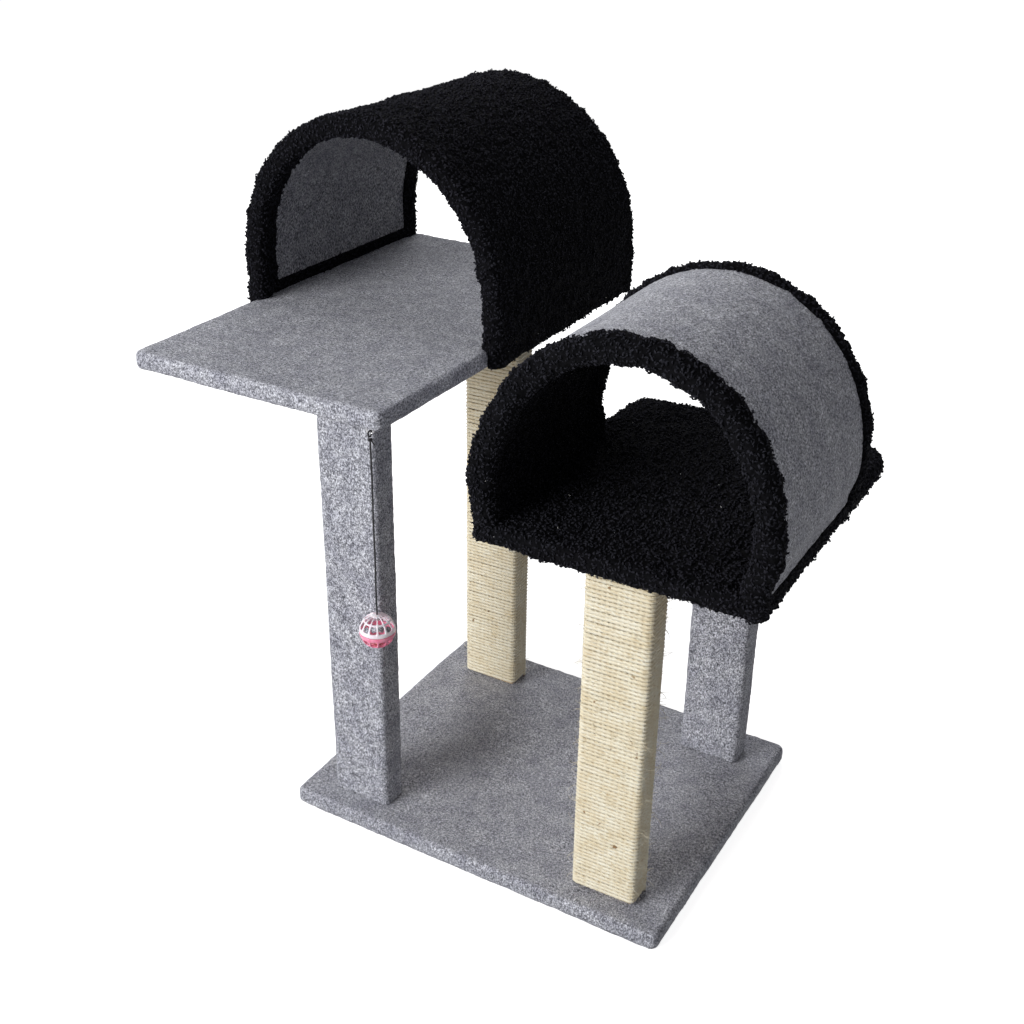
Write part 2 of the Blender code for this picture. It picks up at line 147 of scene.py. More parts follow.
# Toy cord -------------------------------------------------------------------------------
# A thin black braided cord that hangs straight from its top knot to the knot inside the
# ball. It is one smooth tube with a fine braid in its finish.

cord_low, cord_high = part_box("toy_cord")
cord_x = (cord_low.x + cord_high.x) / 2
cord_y = (cord_low.y + cord_high.y) / 2
CORD_DIAMETER = 0.002
CORD_LENGTH = cord_high.z - cord_low.z
CORD_POINTS = 24
line = bpy.data.curves.new("hanging_cord", "CURVE")
line.dimensions = "3D"
line.bevel_depth = CORD_DIAMETER / 2
line.bevel_resolution = 2
line.use_fill_caps = True
spline = line.splines.new("POLY")
spline.points.add(CORD_POINTS - 1)
for step, spot in enumerate(spline.points):
    drop = CORD_LENGTH * step / (CORD_POINTS - 1)
    sway = 0.00035 * math.sin(2.3 * math.pi * step / (CORD_POINTS - 1)) ** 2
    spot.co = (cord_x + sway, cord_y, cord_high.z - drop, 1)
hanging_cord = bpy.data.objects.new("hanging_cord", line)
scene.collection.objects.link(hanging_cord)

braid, tree, shader = finish("black_braid", 0.75)
place = add(tree, "TexCoord").outputs["Object"]
weave = add(
    tree,
    "TexWave",
    {"Vector": place, "Scale": 900, "Distortion": 1.5, "Detail": 1},
    bands_direction="DIAGONAL",
)
tone = add(
    tree,
    "Mix",
    {"Factor": weave.outputs["Fac"], "A": (0.004, 0.004, 0.005, 1), "B": (0.022, 0.020, 0.026, 1)},
    data_type="RGBA",
)
tree.links.new(tone.outputs["Result"], shader.inputs["Base Color"])
ridge = add(tree, "Bump", {"Height": weave.outputs["Fac"], "Strength": 0.6, "Distance": 0.0003})
tree.links.new(ridge.outputs["Normal"], shader.inputs["Normal"])
line.materials.append(braid)
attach(hanging_cord, "toy")
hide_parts("toy_cord")


# Felt carpet over the base and the upper deck -------------------------------------------
# Needle-punched grey felt, heathered from pale and dark fibres. A flat blank is laid on the
# board, folded down over its edges and turned under as a hem. Underneath, the board shows.


def ramp(tree, factor, stops):
    """A colour ramp's colour. Each stop is a position and a linear colour."""
    made = add(tree, "ValToRGB", {"Fac": factor})
    band = made.color_ramp
    while len(band.elements) < len(stops):
        band.elements.new(0.5)
    for element, (position, colour) in zip(band.elements, stops):
        element.position = position
        element.color = (*colour, 1)
    return made.outputs["Color"]


def felt(name, dark, middle, light, streak):
    """Heathered felt: fine fibres of three greys, cloudy patches, and a few dark flecks."""
    made, tree, shader = finish(name, 0.95)
    place = add(tree, "TexCoord").outputs["Object"]
    drawn = add(tree, "Mapping", {"Vector": place, "Scale": streak}).outputs["Vector"]
    fibre = add(
        tree,
        "TexNoise",
        {"Vector": drawn, "Scale": 860, "Detail": 3, "Roughness": 0.72, "Distortion": 0.2},
    )
    mixed = add(tree, "TexNoise", {"Vector": place, "Scale": 330, "Detail": 2, "Roughness": 0.5})
    blend = add(tree, "Mix", {"Factor": 0.25, "A": fibre.outputs["Fac"], "B": mixed.outputs["Fac"]})
    heather = ramp(
        tree, blend.outputs["Result"], [(0.42, dark), (0.49, middle), (0.52, middle), (0.585, light)]
    )
    cloud = add(tree, "TexNoise", {"Vector": place, "Scale": 42, "Detail": 4, "Roughness": 0.65})
    patch = ramp(tree, cloud.outputs["Fac"], [(0.35, (0.80, 0.80, 0.83)), (0.65, (1.14, 1.14, 1.12))])
    clouded = add(
        tree, "Mix", {"Factor": 1.0, "A": heather, "B": patch}, data_type="RGBA", blend_type="MULTIPLY"
    )
    speck = add(tree, "TexNoise", {"Vector": place, "Scale": 210, "Detail": 1, "Roughness": 0.4})
    fleck = ramp(tree, speck.outputs["Fac"], [(0.755, (0, 0, 0)), (0.79, (1, 1, 1))])
    coat = add(
        tree, "Mix", {"Factor": fleck, "A": clouded.outputs["Result"], "B": (*dark, 1)}, data_type="RGBA"
    )
    tree.links.new(coat.outputs["Result"], shader.inputs["Base Color"])
    shader.inputs["Specular IOR Level"].default_value = 0.15
    shader.inputs["Sheen Weight"].default_value = 0.12
    shader.inputs["Sheen Roughness"].default_value = 0.6
    nap = add(tree, "Bump", {"Height": blend.outputs["Result"], "Strength": 0.55, "Distance": 0.0012})
    tree.links.new(nap.outputs["Normal"], shader.inputs["Normal"])
    return made


carpet_felt = felt("grey_felt", (0.080, 0.081, 0.096), (0.325, 0.330, 0.372), (0.76, 0.77, 0.84), (1, 1, 0.6))


def wrapped_board(low, high, front_round, rear_round, edge, hem, step):
    """The outer face of a cover, folded over a board and turned under, and its blank's size."""
    middle = (low + high) / 2
    half = (high - low) / 2
    arc = edge * math.pi / 2
    side = 2 * half.z - 2 * edge
    reach = 2 * arc + side + hem
    blank = (2 * (half.x - edge + reach), 2 * (half.y - edge + reach))
    made = bmesh.new()
    bmesh.ops.create_grid(
        made,
        x_segments=round(blank[0] / step),
        y_segments=round(blank[1] / step),
        size=0.5,
        matrix=Matrix.Diagonal((blank[0], blank[1], 1, 1)),
    )
    past = []
    for vert in made.verts:
        flat = Vector((abs(vert.co.x), abs(vert.co.y)))
        corner = rear_round if vert.co.y > 0 else front_round
        centre = Vector((half.x - corner, half.y - corner))
        beyond = Vector((max(0, flat.x - centre.x), max(0, flat.y - centre.y)))
        run = beyond.length - (corner - edge)
        if run > reach:
            past.append(vert)
            run = reach
        if run <= 0:
            out, drop = beyond.length, 0
        elif run < arc:
            out = corner - edge + edge * math.sin(run / edge)
            drop = edge - edge * math.cos(run / edge)
        elif run < arc + side:
            out, drop = corner, edge + run - arc
        elif run < 2 * arc + side:
            turn = (run - arc - side) / edge
            out = corner - edge + edge * math.cos(turn)
            drop = edge + side + edge * math.sin(turn)
        else:
            out, drop = corner - edge - (run - 2 * arc - side), 2 * half.z
        if out >= 0:
            towards = beyond.normalized() if beyond.length > 0 else beyond
            x = min(flat.x, centre.x) + towards.x * out
            y = min(flat.y, centre.y) + towards.y * out
        else:
            x = min(flat.x, centre.x + out)
            y = min(flat.y, centre.y + out)
        vert.co = (
            middle.x + math.copysign(x, vert.co.x),
            middle.y + math.copysign(y, vert.co.y),
            high.z - drop,
        )
    beyond_hem = set(past)
    waste = [face for face in made.faces if all(vert in beyond_hem for vert in face.verts)]
    bmesh.ops.delete(made, geom=waste, context="FACES")
    bmesh.ops.remove_doubles(made, verts=made.verts[:], dist=0.0002)
    bmesh.ops.dissolve_degenerate(made, edges=made.edges[:], dist=0.0001)
    made.normal_update()
    # Faces that lie doubled back in the hem's corners, under the board, are taken out.
    doubled = []
    for face in made.faces:
        height = face.calc_center_median().z - low.z
        if height < 0.0001 and face.normal.z > -0.9 or height < half.z and face.normal.z > 0.1:
            doubled.append(face)
    bmesh.ops.delete(made, geom=doubled, context="FACES")
    made.normal_update()
    return made, blank


def roughen(made, *bumps):
    """Moves each point along its normal by layers of noise, each a wavelength and a height."""
    made.normal_update()
    moves = [
        sum(noise.noise(vert.co / length) * height for length, height in bumps) for vert in made.verts
    ]
    for vert, move in zip(made.verts, moves):
        vert.co += vert.normal * move


def piece(name, made, material, replaced=(), wall=0.0, body="tree"):
    """A finished piece: smooth, riding on its body, with a wall behind its face if asked."""
    mesh = bpy.data.meshes.new(name)
    made.to_mesh(mesh)
    made.free()
    mesh.shade_smooth()
    mesh.materials.append(material)
    obj = bpy.data.objects.new(name, mesh)
    scene.collection.objects.link(obj)
    if wall:
        backing = obj.modifiers.new("backing", "SOLIDIFY")
        backing.thickness = wall
        backing.offset = -1
    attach(obj, body)
    if replaced:
        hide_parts(*replaced)
    return obj


FELT = 0.0040
FELT_STEP = 0.0036
for node_name, name, board in (
    ("base_carpet", "base_felt", "base_board"),
    ("upper_board_carpet", "upper_deck_felt", "upper_board"),
):
    low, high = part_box(node_name)
    made, blank = wrapped_board(low, high, 0.009, 0.009, 0.0052, 0.017, FELT_STEP)
    roughen(made, (0.060, 0.0007), (0.014, 0.0004), (0.0045, 0.00055))
    cover = piece(name, made, carpet_felt, [node_name], FELT)


# Felt sleeves on two posts --------------------------------------------------------------
# The same felt, wrapped round the tall front post and the short rear one and stapled where
# its edges meet on the back. The pile fills out the corners.


def sleeve(low, high, corner, step):
    """The outer face of a sleeve, rolled round a post and closed along its seam, and its cut."""
    middle = (low + high) / 2
    half = (high - low) / 2
    flat = (2 * (half.x - corner), 2 * (half.y - corner))
    arc = corner * math.pi / 2
    around = 2 * (flat[0] + flat[1] + 2 * arc)
    made = bmesh.new()
    bmesh.ops.create_grid(
        made,
        x_segments=round(around / step),
        y_segments=round(2 * half.z / step),
        size=0.5,
        matrix=Matrix.Diagonal((around, 2 * half.z, 1, 1)),
    )
    runs = (flat[0] / 2, arc, flat[1], arc, flat[0], arc, flat[1], arc, flat[0] / 2 + 1)
    starts = (
        (0, half.y, 0),
        (half.x - corner, half.y - corner, 90),
        (half.x, half.y - corner, 0),
        (half.x - corner, corner - half.y, 0),
        (half.x - corner, -half.y, 0),
        (corner - half.x, corner - half.y, -90),
        (-half.x, corner - half.y, 0),
        (corner - half.x, half.y - corner, 180),
        (corner - half.x, half.y, 0),
    )
    heading = ((1, 0), None, (0, -1), None, (-1, 0), None, (0, 1), None, (1, 0))
    for vert in made.verts:
        along = vert.co.x + around / 2
        height = vert.co.y
        section = 0
        while along > runs[section]:
            along -= runs[section]
            section += 1
        x, y, turn = starts[section]
        if heading[section]:
            x += heading[section][0] * along
            y += heading[section][1] * along
        else:
            angle = math.radians(turn) - along / corner
            x += corner * math.cos(angle)
            y += corner * math.sin(angle)
        vert.co = (middle.x + x, middle.y + y, middle.z + height)
    bmesh.ops.remove_doubles(made, verts=made.verts[:], dist=0.0001)
    bmesh.ops.recalc_face_normals(made, faces=made.faces[:])
    return made, (around, 2 * half.z)


for node_name, name in (
    ("front_left_post_carpet", "front_left_post_felt"),
    ("rear_right_post_carpet", "rear_right_post_felt"),
):
    low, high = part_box(node_name)
    made, blank = sleeve(low, high, 0.0062, 0.0034)
    roughen(made, (0.080, 0.0006), (0.012, 0.0004), (0.0045, 0.0005))
    cover = piece(name, made, carpet_felt, [node_name], FELT - 0.0002)


# Sisal on two posts ---------------------------------------------------------------------
# Three-strand natural sisal rope wound tight round the bare post in level turns and stapled
# at its ends, with loose fibres standing off the corners.

ROPE_PITCH = 0.0047
ROPE_RADIUS = 0.00238
STRAND_LEAD = 0.018
WIND_STEP = 0.0024
WIND_CORNER = 0.0042


def rope_section():
    """The rope's outline: three strands laid together, as a small closed curve."""
    curve = bpy.data.curves.new("rope_section", "CURVE")
    curve.dimensions = "2D"
    ring = curve.splines.new("POLY")
    ring.points.add(8)
    for step, spot in enumerate(ring.points):
        angle = 2 * math.pi * step / 9
        reach = ROPE_RADIUS * (1.0 + 0.13 * math.cos(3 * angle))
        spot.co = (reach * math.cos(angle), reach * math.sin(angle), 0, 1)
    ring.use_cyclic_u = True
    obj = bpy.data.objects.new("rope_section", curve)
    scene.collection.objects.link(obj)
    return obj


def winding(low, high, rng):
    """The rope's centreline round a post, as points with the twist of the strands at each."""
    half_x = (high.x - low.x) / 2 - ROPE_RADIUS + 0.0002
    half_y = (high.y - low.y) / 2 - ROPE_RADIUS + 0.0002
    flat_x, flat_y = half_x - WIND_CORNER, half_y - WIND_CORNER
    lap = []
    for sign_x, sign_y, start in ((1, 1, 0), (-1, 1, 90), (-1, -1, 180), (1, -1, 270)):
        for step in range(4):
            angle = math.radians(start + 90 * step / 3)
            lap.append(
                (
                    sign_x * flat_x + WIND_CORNER * math.cos(angle),
                    sign_y * flat_y + WIND_CORNER * math.sin(angle),
                )
            )
    round_trip = []
    for here, there in zip(lap, lap[1:] + lap[:1]):
        count = max(1, round(math.dist(here, there) / WIND_STEP))
        for step in range(count):
            share = step / count
            round_trip.append(
                (here[0] + (there[0] - here[0]) * share, here[1] + (there[1] - here[1]) * share)
            )
    bottom = low.z + ROPE_RADIUS
    turns = int((high.z - low.z - 2 * ROPE_RADIUS) / ROPE_PITCH)
    pitch = (high.z - low.z - 2 * ROPE_RADIUS) / turns
    middle = (low + high) / 2
    points = []
    run = 0.0
    previous = None
    for turn in range(turns):
        sag = rng.uniform(-0.00025, 0.00025)
        for step, (x, y) in enumerate(round_trip):
            share = step / len(round_trip)
            z = bottom + pitch * (turn + share) + sag * math.sin(math.pi * share) * 2
            point = Vector((middle.x + x, middle.y + y, z))
            if previous is not None:
                run += (point - previous).length
            previous = point
            points.append((point, 2 * math.pi * run / STRAND_LEAD))
    return points


sisal, tree, shader = finish("natural_sisal", 0.85)
place = add(tree, "TexCoord").outputs["Object"]
drawn = add(tree, "Mapping", {"Vector": place, "Scale": (0.22, 0.22, 1.0)}).outputs["Vector"]
fibre = add(
    tree,
    "TexNoise",
    {"Vector": drawn, "Scale": 780, "Detail": 4, "Roughness": 0.65, "Distortion": 0.4},
)
straw = ramp(
    tree,
    fibre.outputs["Fac"],
    [
        (0.30, (0.68, 0.57, 0.39)),
        (0.44, (0.93, 0.87, 0.70)),
        (0.58, (0.98, 0.95, 0.82)),
        (0.76, (0.99, 0.98, 0.92)),
    ],
)
laid = add(tree, "Mapping", {"Vector": place, "Scale": (1, 1, 1.7)}).outputs["Vector"]
twist = add(
    tree,
    "TexWave",
    {"Vector": laid, "Scale": 235, "Distortion": 4.5, "Detail": 2, "Detail Scale": 2.5},
    bands_direction="DIAGONAL",
)
stroke = ramp(tree, twist.outputs["Fac"], [(0.05, (0.86, 0.80, 0.69)), (0.45, (1.0, 1.0, 1.0))])
straw = add(
    tree, "Mix", {"Factor": 1.0, "A": straw, "B": stroke}, data_type="RGBA", blend_type="MULTIPLY"
).outputs["Result"]
patch = add(tree, "TexNoise", {"Vector": place, "Scale": 38, "Detail": 2, "Roughness": 0.5})
warm = ramp(tree, patch.outputs["Fac"], [(0.35, (0.93, 0.89, 0.82)), (0.62, (1.0, 1.0, 1.0))])
toned = add(tree, "Mix", {"Factor": 1.0, "A": straw, "B": warm}, data_type="RGBA", blend_type="MULTIPLY")
speck = add(tree, "TexNoise", {"Vector": place, "Scale": 130, "Detail": 0})
fleck = ramp(tree, speck.outputs["Fac"], [(0.835, (0, 0, 0)), (0.865, (1, 1, 1))])
coat = add(
    tree,
    "Mix",
    {"Factor": fleck, "A": toned.outputs["Result"], "B": (0.34, 0.22, 0.11, 1)},
    data_type="RGBA",
)
tree.links.new(coat.outputs["Result"], shader.inputs["Base Color"])
shader.inputs["Specular IOR Level"].default_value = 0.25
shader.inputs["Sheen Weight"].default_value = 0.08
height = add(tree, "Mix", {"Factor": 0.5, "A": fibre.outputs["Fac"], "B": twist.outputs["Fac"]})
strands = add(tree, "Bump", {"Height": height.outputs["Result"], "Strength": 0.55, "Distance": 0.0008})
tree.links.new(strands.outputs["Normal"], shader.inputs["Normal"])


def strand(radius, sweep, drift, thick, thin, steps):
    """A three-sided strand that rises along Z and bends over towards X, thinner at each step."""
    made = bmesh.new()
    spots = bmesh.ops.create_circle(made, segments=3, radius=thick)["verts"]
    ends = made.edges[:]
    turn = sweep / steps
    for step in range(steps):
        pulled = bmesh.ops.extrude_edge_only(made, edges=ends)["geom"]
        spots = [item for item in pulled if isinstance(item, bmesh.types.BMVert)]
        fresh = set(spots)
        ends = [edge for edge in pulled if isinstance(edge, bmesh.types.BMEdge) and set(edge.verts) <= fresh]
        here, there = turn * step, turn * (step + 1)
        forward = math.cos(here) - math.cos(there)
        shift = Vector((forward, drift * turn, math.sin(there) - math.sin(here)))
        middle = sum((vert.co for vert in spots), Vector()) / 3
        bmesh.ops.rotate(made, verts=spots, cent=middle, matrix=Matrix.Rotation(turn, 3, "Y"))
        for vert in spots:
            vert.co = middle + (vert.co - middle) * thin + shift * radius
    bmesh.ops.holes_fill(made, edges=[edge for edge in made.edges if edge.is_boundary], sides=3)
    bmesh.ops.recalc_face_normals(made, faces=made.faces[:])
    mesh = bpy.data.meshes.new("strand")
    made.to_mesh(mesh)
    made.free()
    return mesh


def strewn(name, shapes, places, material):
    """One piece from many copies of small shapes. Each place is a shape's number and a matrix."""
    corners, loops, totals, offset = [], [], [], 0
    for number, shape in enumerate(shapes):
        spots = np.array([(*vert.co, 1.0) for vert in shape.vertices])
        matrices = np.array([matrix for chosen, matrix in places if chosen == number]).reshape(-1, 4, 4)
        if not len(matrices):
            continue
        moved = np.einsum("nij,vj->nvi", matrices, spots)[:, :, :3]
        corners.append(moved.reshape(-1, 3))
        inner = np.array([vert for face in shape.polygons for vert in face.vertices])
        starts = offset + np.arange(len(matrices)) * len(spots)
        loops.append((starts[:, None] + inner[None, :]).ravel())
        totals.append(np.tile([len(face.vertices) for face in shape.polygons], len(matrices)))
        offset += len(spots) * len(matrices)
    corners, loops, totals = np.concatenate(corners), np.concatenate(loops), np.concatenate(totals)
    mesh = bpy.data.meshes.new(name)
    mesh.vertices.add(len(corners))
    mesh.vertices.foreach_set("co", corners.ravel())
    mesh.loops.add(len(loops))
    mesh.loops.foreach_set("vertex_index", loops)
    mesh.polygons.add(len(totals))
    mesh.polygons.foreach_set("loop_start", np.concatenate(([0], np.cumsum(totals)[:-1])))
    mesh.update(calc_edges=True)
    mesh.validate()
    mesh.shade_smooth()
    mesh.materials.append(material)
    obj = bpy.data.objects.new(name, mesh)
    scene.collection.objects.link(obj)
    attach(obj, "tree")
    return obj


def standing(point, direction, spin, size=1.0):
    """A matrix that stands a shape's Z along a direction at a point, spun about it."""
    turn = Vector(direction).to_track_quat("Z", "Y").to_matrix().to_4x4()
    return Matrix.Translation(point) @ turn @ Matrix.Rotation(spin, 4, "Z") @ Matrix.Scale(size, 4)


section = rope_section()
LOOSE_FIBRES = 420
hairs = [strand(*size, 0.2, 0.00030, 0.85, 5) for size in ((0.020, 0.6), (0.007, 1.9), (0.011, 1.6))]
for node_name, name, seed in (
    ("rear_left_post_sisal", "rear_left_post_rope", 5),
    ("front_right_post_sisal", "front_right_post_rope", 9),
):
    rng = random.Random(seed)
    low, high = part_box(node_name)
    route = winding(low, high, rng)
    line = bpy.data.curves.new(name, "CURVE")
    line.dimensions = "3D"
    line.twist_mode = "Z_UP"
    line.bevel_mode = "OBJECT"
    line.bevel_object = section
    line.use_fill_caps = True
    spline = line.splines.new("POLY")
    spline.points.add(len(route) - 1)
    spline.points.foreach_set("co", [value for point, _ in route for value in (*point, 1.0)])
    spline.points.foreach_set("tilt", [twist for _, twist in route])
    coil = bpy.data.objects.new(name + "_line", line)
    scene.collection.objects.link(coil)
    bpy.context.view_layer.update()
    mesh = bpy.data.meshes.new_from_object(coil.evaluated_get(bpy.context.evaluated_depsgraph_get()))
    bpy.data.objects.remove(coil)
    made = bmesh.new()
    made.from_mesh(mesh)
    bmesh.ops.remove_doubles(made, verts=made.verts[:], dist=0.00002)
    bmesh.ops.recalc_face_normals(made, faces=made.faces[:])
    piece(name, made, sisal, [node_name])
    places = []
    while len(places) < LOOSE_FIBRES:
        point, _ = route[rng.randrange(len(route))]
        outward = Vector((point.x - (low.x + high.x) / 2, point.y - (low.y + high.y) / 2, 0))
        if abs(outward.x) < 0.030 and rng.random() < 0.75:
            continue
        outward.x *= 0.6
        lean = Vector((rng.uniform(-1, 1), rng.uniform(-1, 1), rng.uniform(-1.2, 0.8)))
        heading = outward.normalized() + lean * 0.8
        start = point + outward.normalized() * ROPE_RADIUS * 0.6
        kind = rng.randrange(len(hairs))
        places.append((kind, standing(start, heading, rng.uniform(0, 6.3), rng.uniform(0.6, 1.1))))
    strewn(name + "_loose_fibres", hairs, places, sisal)
bpy.data.objects.remove(section)


# Tunnel lining and tunnel carpet --------------------------------------------------------
# Both tunnels are bent plywood. The upper one has a flat grey felt panel glued inside it, and
# the lower one has the grey carpet over its outside, tucked under the fleece at both ends.


def vault_line(centre, half, foot_half, foot, bulge, spring, rise, lean, step):
    """Points and outward normals, in (x, z), along a shell's inner face from foot to foot."""
    leg = []
    for share in np.linspace(0, 1, 24):
        z = foot + (bulge - foot) * share
        leg.append((foot_half, z))
    for share in np.linspace(0, 1, 16)[1:]:
        ease = (1 - math.cos(math.pi * share)) / 2
        leg.append((foot_half + ease * (half - foot_half), bulge + share * (spring - bulge)))
    turns = np.linspace(0, math.pi, 200)[1:-1]
    crown = [(-half * math.cos(turn), spring + rise * math.sin(turn)) for turn in turns]
    path = np.array([(-x, z) for x, z in leg] + crown + leg[::-1])
    share = np.clip((path[:, 1] - bulge) / (spring + rise - bulge), 0, None)
    path[:, 0] += centre + lean * share**2 * (3 - 2 * share)
    lengths = np.concatenate(([0], np.cumsum(np.linalg.norm(np.diff(path, axis=0), axis=1))))
    even = np.linspace(0, lengths[-1], round(lengths[-1] / step) + 1)
    points = np.stack([np.interp(even, lengths, path[:, axis]) for axis in (0, 1)], axis=1)
    along = np.gradient(points, axis=0)
    for _ in range(3):
        along[1:-1] = (along[:-2] + along[1:-1] * 2 + along[2:]) / 4
    along /= np.linalg.norm(along, axis=1)[:, None]
    return points, np.stack([-along[:, 1], along[:, 0]], axis=1), lengths[-1]


def eased(corners, step):
    """A soft line through (y, out) corners, cut round, as evenly spaced points, and its length."""
    path = np.array(corners, float)
    for _ in range(3):
        cuts = np.stack([path[:-1] * 0.75 + path[1:] * 0.25, path[:-1] * 0.25 + path[1:] * 0.75], axis=1)
        path = np.concatenate([path[:1], cuts.reshape(-1, 2), path[-1:]])
    lengths = np.concatenate(([0], np.cumsum(np.linalg.norm(np.diff(path, axis=0), axis=1))))
    even = np.linspace(0, lengths[-1], round(lengths[-1] / step) + 1)
    return np.stack([np.interp(even, lengths, path[:, axis]) for axis in (0, 1)], axis=1), lengths[-1]


def vaulted(line, profile, inward=False):
    """A sheet bent over a vault: each row follows the line, at the profile's y and distance."""
    points, outward, _ = line
    made = bmesh.new()
    bmesh.ops.create_grid(made, x_segments=len(points) - 1, y_segments=len(profile) - 1, size=0.5)
    for vert in made.verts:
        column = round((vert.co.x + 0.5) * (len(points) - 1))
        row = round((vert.co.y + 0.5) * (len(profile) - 1))
        y, out = profile[row]
        x, z = points[column] + outward[column] * out
        vert.co = (x, y, z)
    if inward:
        bmesh.ops.reverse_faces(made, faces=made.faces[:])
    made.normal_update()
    return made


UPPER_VAULT = dict(
    centre=-0.20406, half=0.1653, foot_half=0.1653, bulge=0.560, spring=0.589, rise=0.1794, lean=-0.004
)
LOWER_VAULT = dict(
    centre=0.21894, half=0.1520, foot_half=0.1447, bulge=0.460, spring=0.496, rise=0.1714, lean=0.008
)
upper_low, upper_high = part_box("upper_arch_sherpa")
lower_low, lower_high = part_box("lower_arch_sherpa")

lining_felt = felt(
    "lining_felt", (0.045, 0.045, 0.052), (0.225, 0.227, 0.250), (0.60, 0.605, 0.65), (1, 1, 0.4)
)
lining_low, lining_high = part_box("upper_arch_lining")
line = vault_line(**UPPER_VAULT, foot=lining_low.z - 0.004, step=0.0036)
profile, across = eased([(lining_low.y - 0.003, -0.0032), (lining_high.y + 0.003, -0.0032)], 0.0036)
made = vaulted(line, profile, inward=True)
roughen(made, (0.050, 0.0006), (0.010, 0.0003), (0.0045, 0.0003))
cover = piece("upper_tunnel_lining", made, lining_felt, ["upper_arch_lining"], 0.0024)

band_low, band_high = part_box("lower_arch_carpet")
line = vault_line(**LOWER_VAULT, foot=band_low.z, step=0.0036)
profile, across = eased([(band_low.y - 0.004, 0.0083), (band_high.y + 0.004, 0.0083)], 0.0036)
made = vaulted(line, profile)
roughen(made, (0.060, 0.0008), (0.012, 0.0004), (0.0045, 0.0005))
cover = piece("lower_tunnel_felt", made, carpet_felt, ["lower_arch_carpet"], FELT - 0.0002)


# Black sherpa fleece --------------------------------------------------------------------
# A knitted backing with a deep curly pile, stretched over the upper tunnel's outside and its
# edges, over the lower deck, and through the lower tunnel and out over both its rims. The
# backing is a folded sheet, and the pile is short curls standing on it.

PILE = 0.0020


def black_fleece(name, dark, light):
    made, tree, shader = finish(name, 0.95)
    place = add(tree, "TexCoord").outputs["Object"]
    tuft = add(tree, "TexNoise", {"Vector": place, "Scale": 240, "Detail": 3, "Roughness": 0.6})
    tone = ramp(tree, tuft.outputs["Fac"], [(0.35, dark), (0.70, light)])
    tree.links.new(tone, shader.inputs["Base Color"])
    shader.inputs["Specular IOR Level"].default_value = 0.05
    fluff = add(tree, "Bump", {"Height": tuft.outputs["Fac"], "Strength": 0.5, "Distance": 0.001})
    tree.links.new(fluff.outputs["Normal"], shader.inputs["Normal"])
    return made


# The black backing is coloured several times darker than the curls: painted shade deep in the pile, between
# the curls.
backing = black_fleece("fleece_backing_painted_shade", (0.002, 0.002, 0.0025), (0.006, 0.006, 0.0075))
pile = black_fleece("fleece_pile", (0.0085, 0.0085, 0.0115), (0.0330, 0.0330, 0.0420))

CURLS = [
    strand(radius, sweep, drift, thick, 0.91, 3)
    for radius, sweep, drift, thick in (
        (0.0010, 3.7, 0.35, 0.00110),
        (0.0012, 3.1, -0.45, 0.00120),
        (0.0009, 4.1, 0.55, 0.00100),
        (0.0014, 2.5, 0.25, 0.00110),
        (0.0011, 3.4, -0.25, 0.00125),
    )
]
CURLS_A_PIECE = 9000
CURL_SPACING = 0.0034


def grow_pile(name, sheet, spacing, seed, keep=None):
    """Curls all over a sheet's face, as pieces small enough to handle."""
    rng = np.random.default_rng(seed)
    mesh = sheet.data
    corners = np.array([vert.co for vert in mesh.vertices])
    rings = [list(face.vertices) for face in mesh.polygons]
    faces = np.array([(ring[0], ring[1], ring[2], ring[-1]) for ring in rings])
    areas = np.array([face.area for face in mesh.polygons])
    normals = np.array([face.normal for face in mesh.polygons])
    count = int(areas.sum() / spacing**2)
    marks = (np.arange(count) + rng.uniform(0, 1, count)) / count * areas.sum()
    chosen = np.minimum(np.searchsorted(np.cumsum(areas), marks), len(areas) - 1)
    u, v = rng.uniform(0, 1, (2, count, 1))
    quads = corners[faces[chosen]]
    near = quads[:, 0] * (1 - u) + quads[:, 1] * u
    far = quads[:, 3] * (1 - u) + quads[:, 2] * u
    roots = near * (1 - v) + far * v
    if keep is not None:
        kept = keep(roots)
        roots, chosen = roots[kept], chosen[kept]
    count = len(roots)
    lean = rng.normal(0, 0.38, (count, 3))
    axes = normals[chosen] + lean
    rise = rng.uniform(-0.0010, 0.0003, count)
    spins = rng.uniform(0, 2 * math.pi, count)
    sizes = rng.uniform(0.8, 1.25, count)
    kinds = rng.integers(0, len(CURLS), count)
    order = rng.permutation(count)
    places = []
    for index in order:
        root = Vector(roots[index]) + Vector(normals[chosen[index]]) * rise[index]
        places.append((kinds[index], standing(root, axes[index], spins[index], sizes[index])))
    places.sort(key=lambda place: place[1].translation.x)
    pieces = []
    for start in range(0, len(places), CURLS_A_PIECE):
        part = places[start : start + CURLS_A_PIECE]
        pieces.append(strewn(f"{name}_{start // CURLS_A_PIECE + 1}", CURLS, part, pile))
    return pieces


def trim(made, unwanted):
    """Takes away the faces whose middle is in a place the sheet can't reach."""
    waste = [face for face in made.faces if unwanted(face.calc_center_median())]
    bmesh.ops.delete(made, geom=waste, context="FACES")


deck_low, deck_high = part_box("upper_board_carpet")
SHERPA_STEP = 0.0044
line = vault_line(**UPPER_VAULT, foot=deck_low.z + 0.0005, step=SHERPA_STEP)
front, rear = upper_low.y + PILE - 0.003, upper_high.y - PILE
profile, across = eased(
    [
        (front + 0.040, -0.0047),
        (front + 0.026, -0.0055),
        (front + 0.018, -0.0105),
        (front + 0.003, -0.0115),
        (front - 0.001, -0.0020),
        (front, 0.0120),
        (front + 0.016, 0.0135),
        (front + 0.036, 0.0105),
        (rear - 0.030, 0.0105),
        (rear - 0.012, 0.0125),
        (rear, 0.0115),
        (rear + 0.001, -0.0010),
        (rear - 0.002, -0.0095),
        (rear - 0.014, -0.0090),
        (rear - 0.026, -0.0047),
    ],
    SHERPA_STEP,
)
made = vaulted(line, profile)
deck_middle = (deck_low.x + deck_high.x) / 2
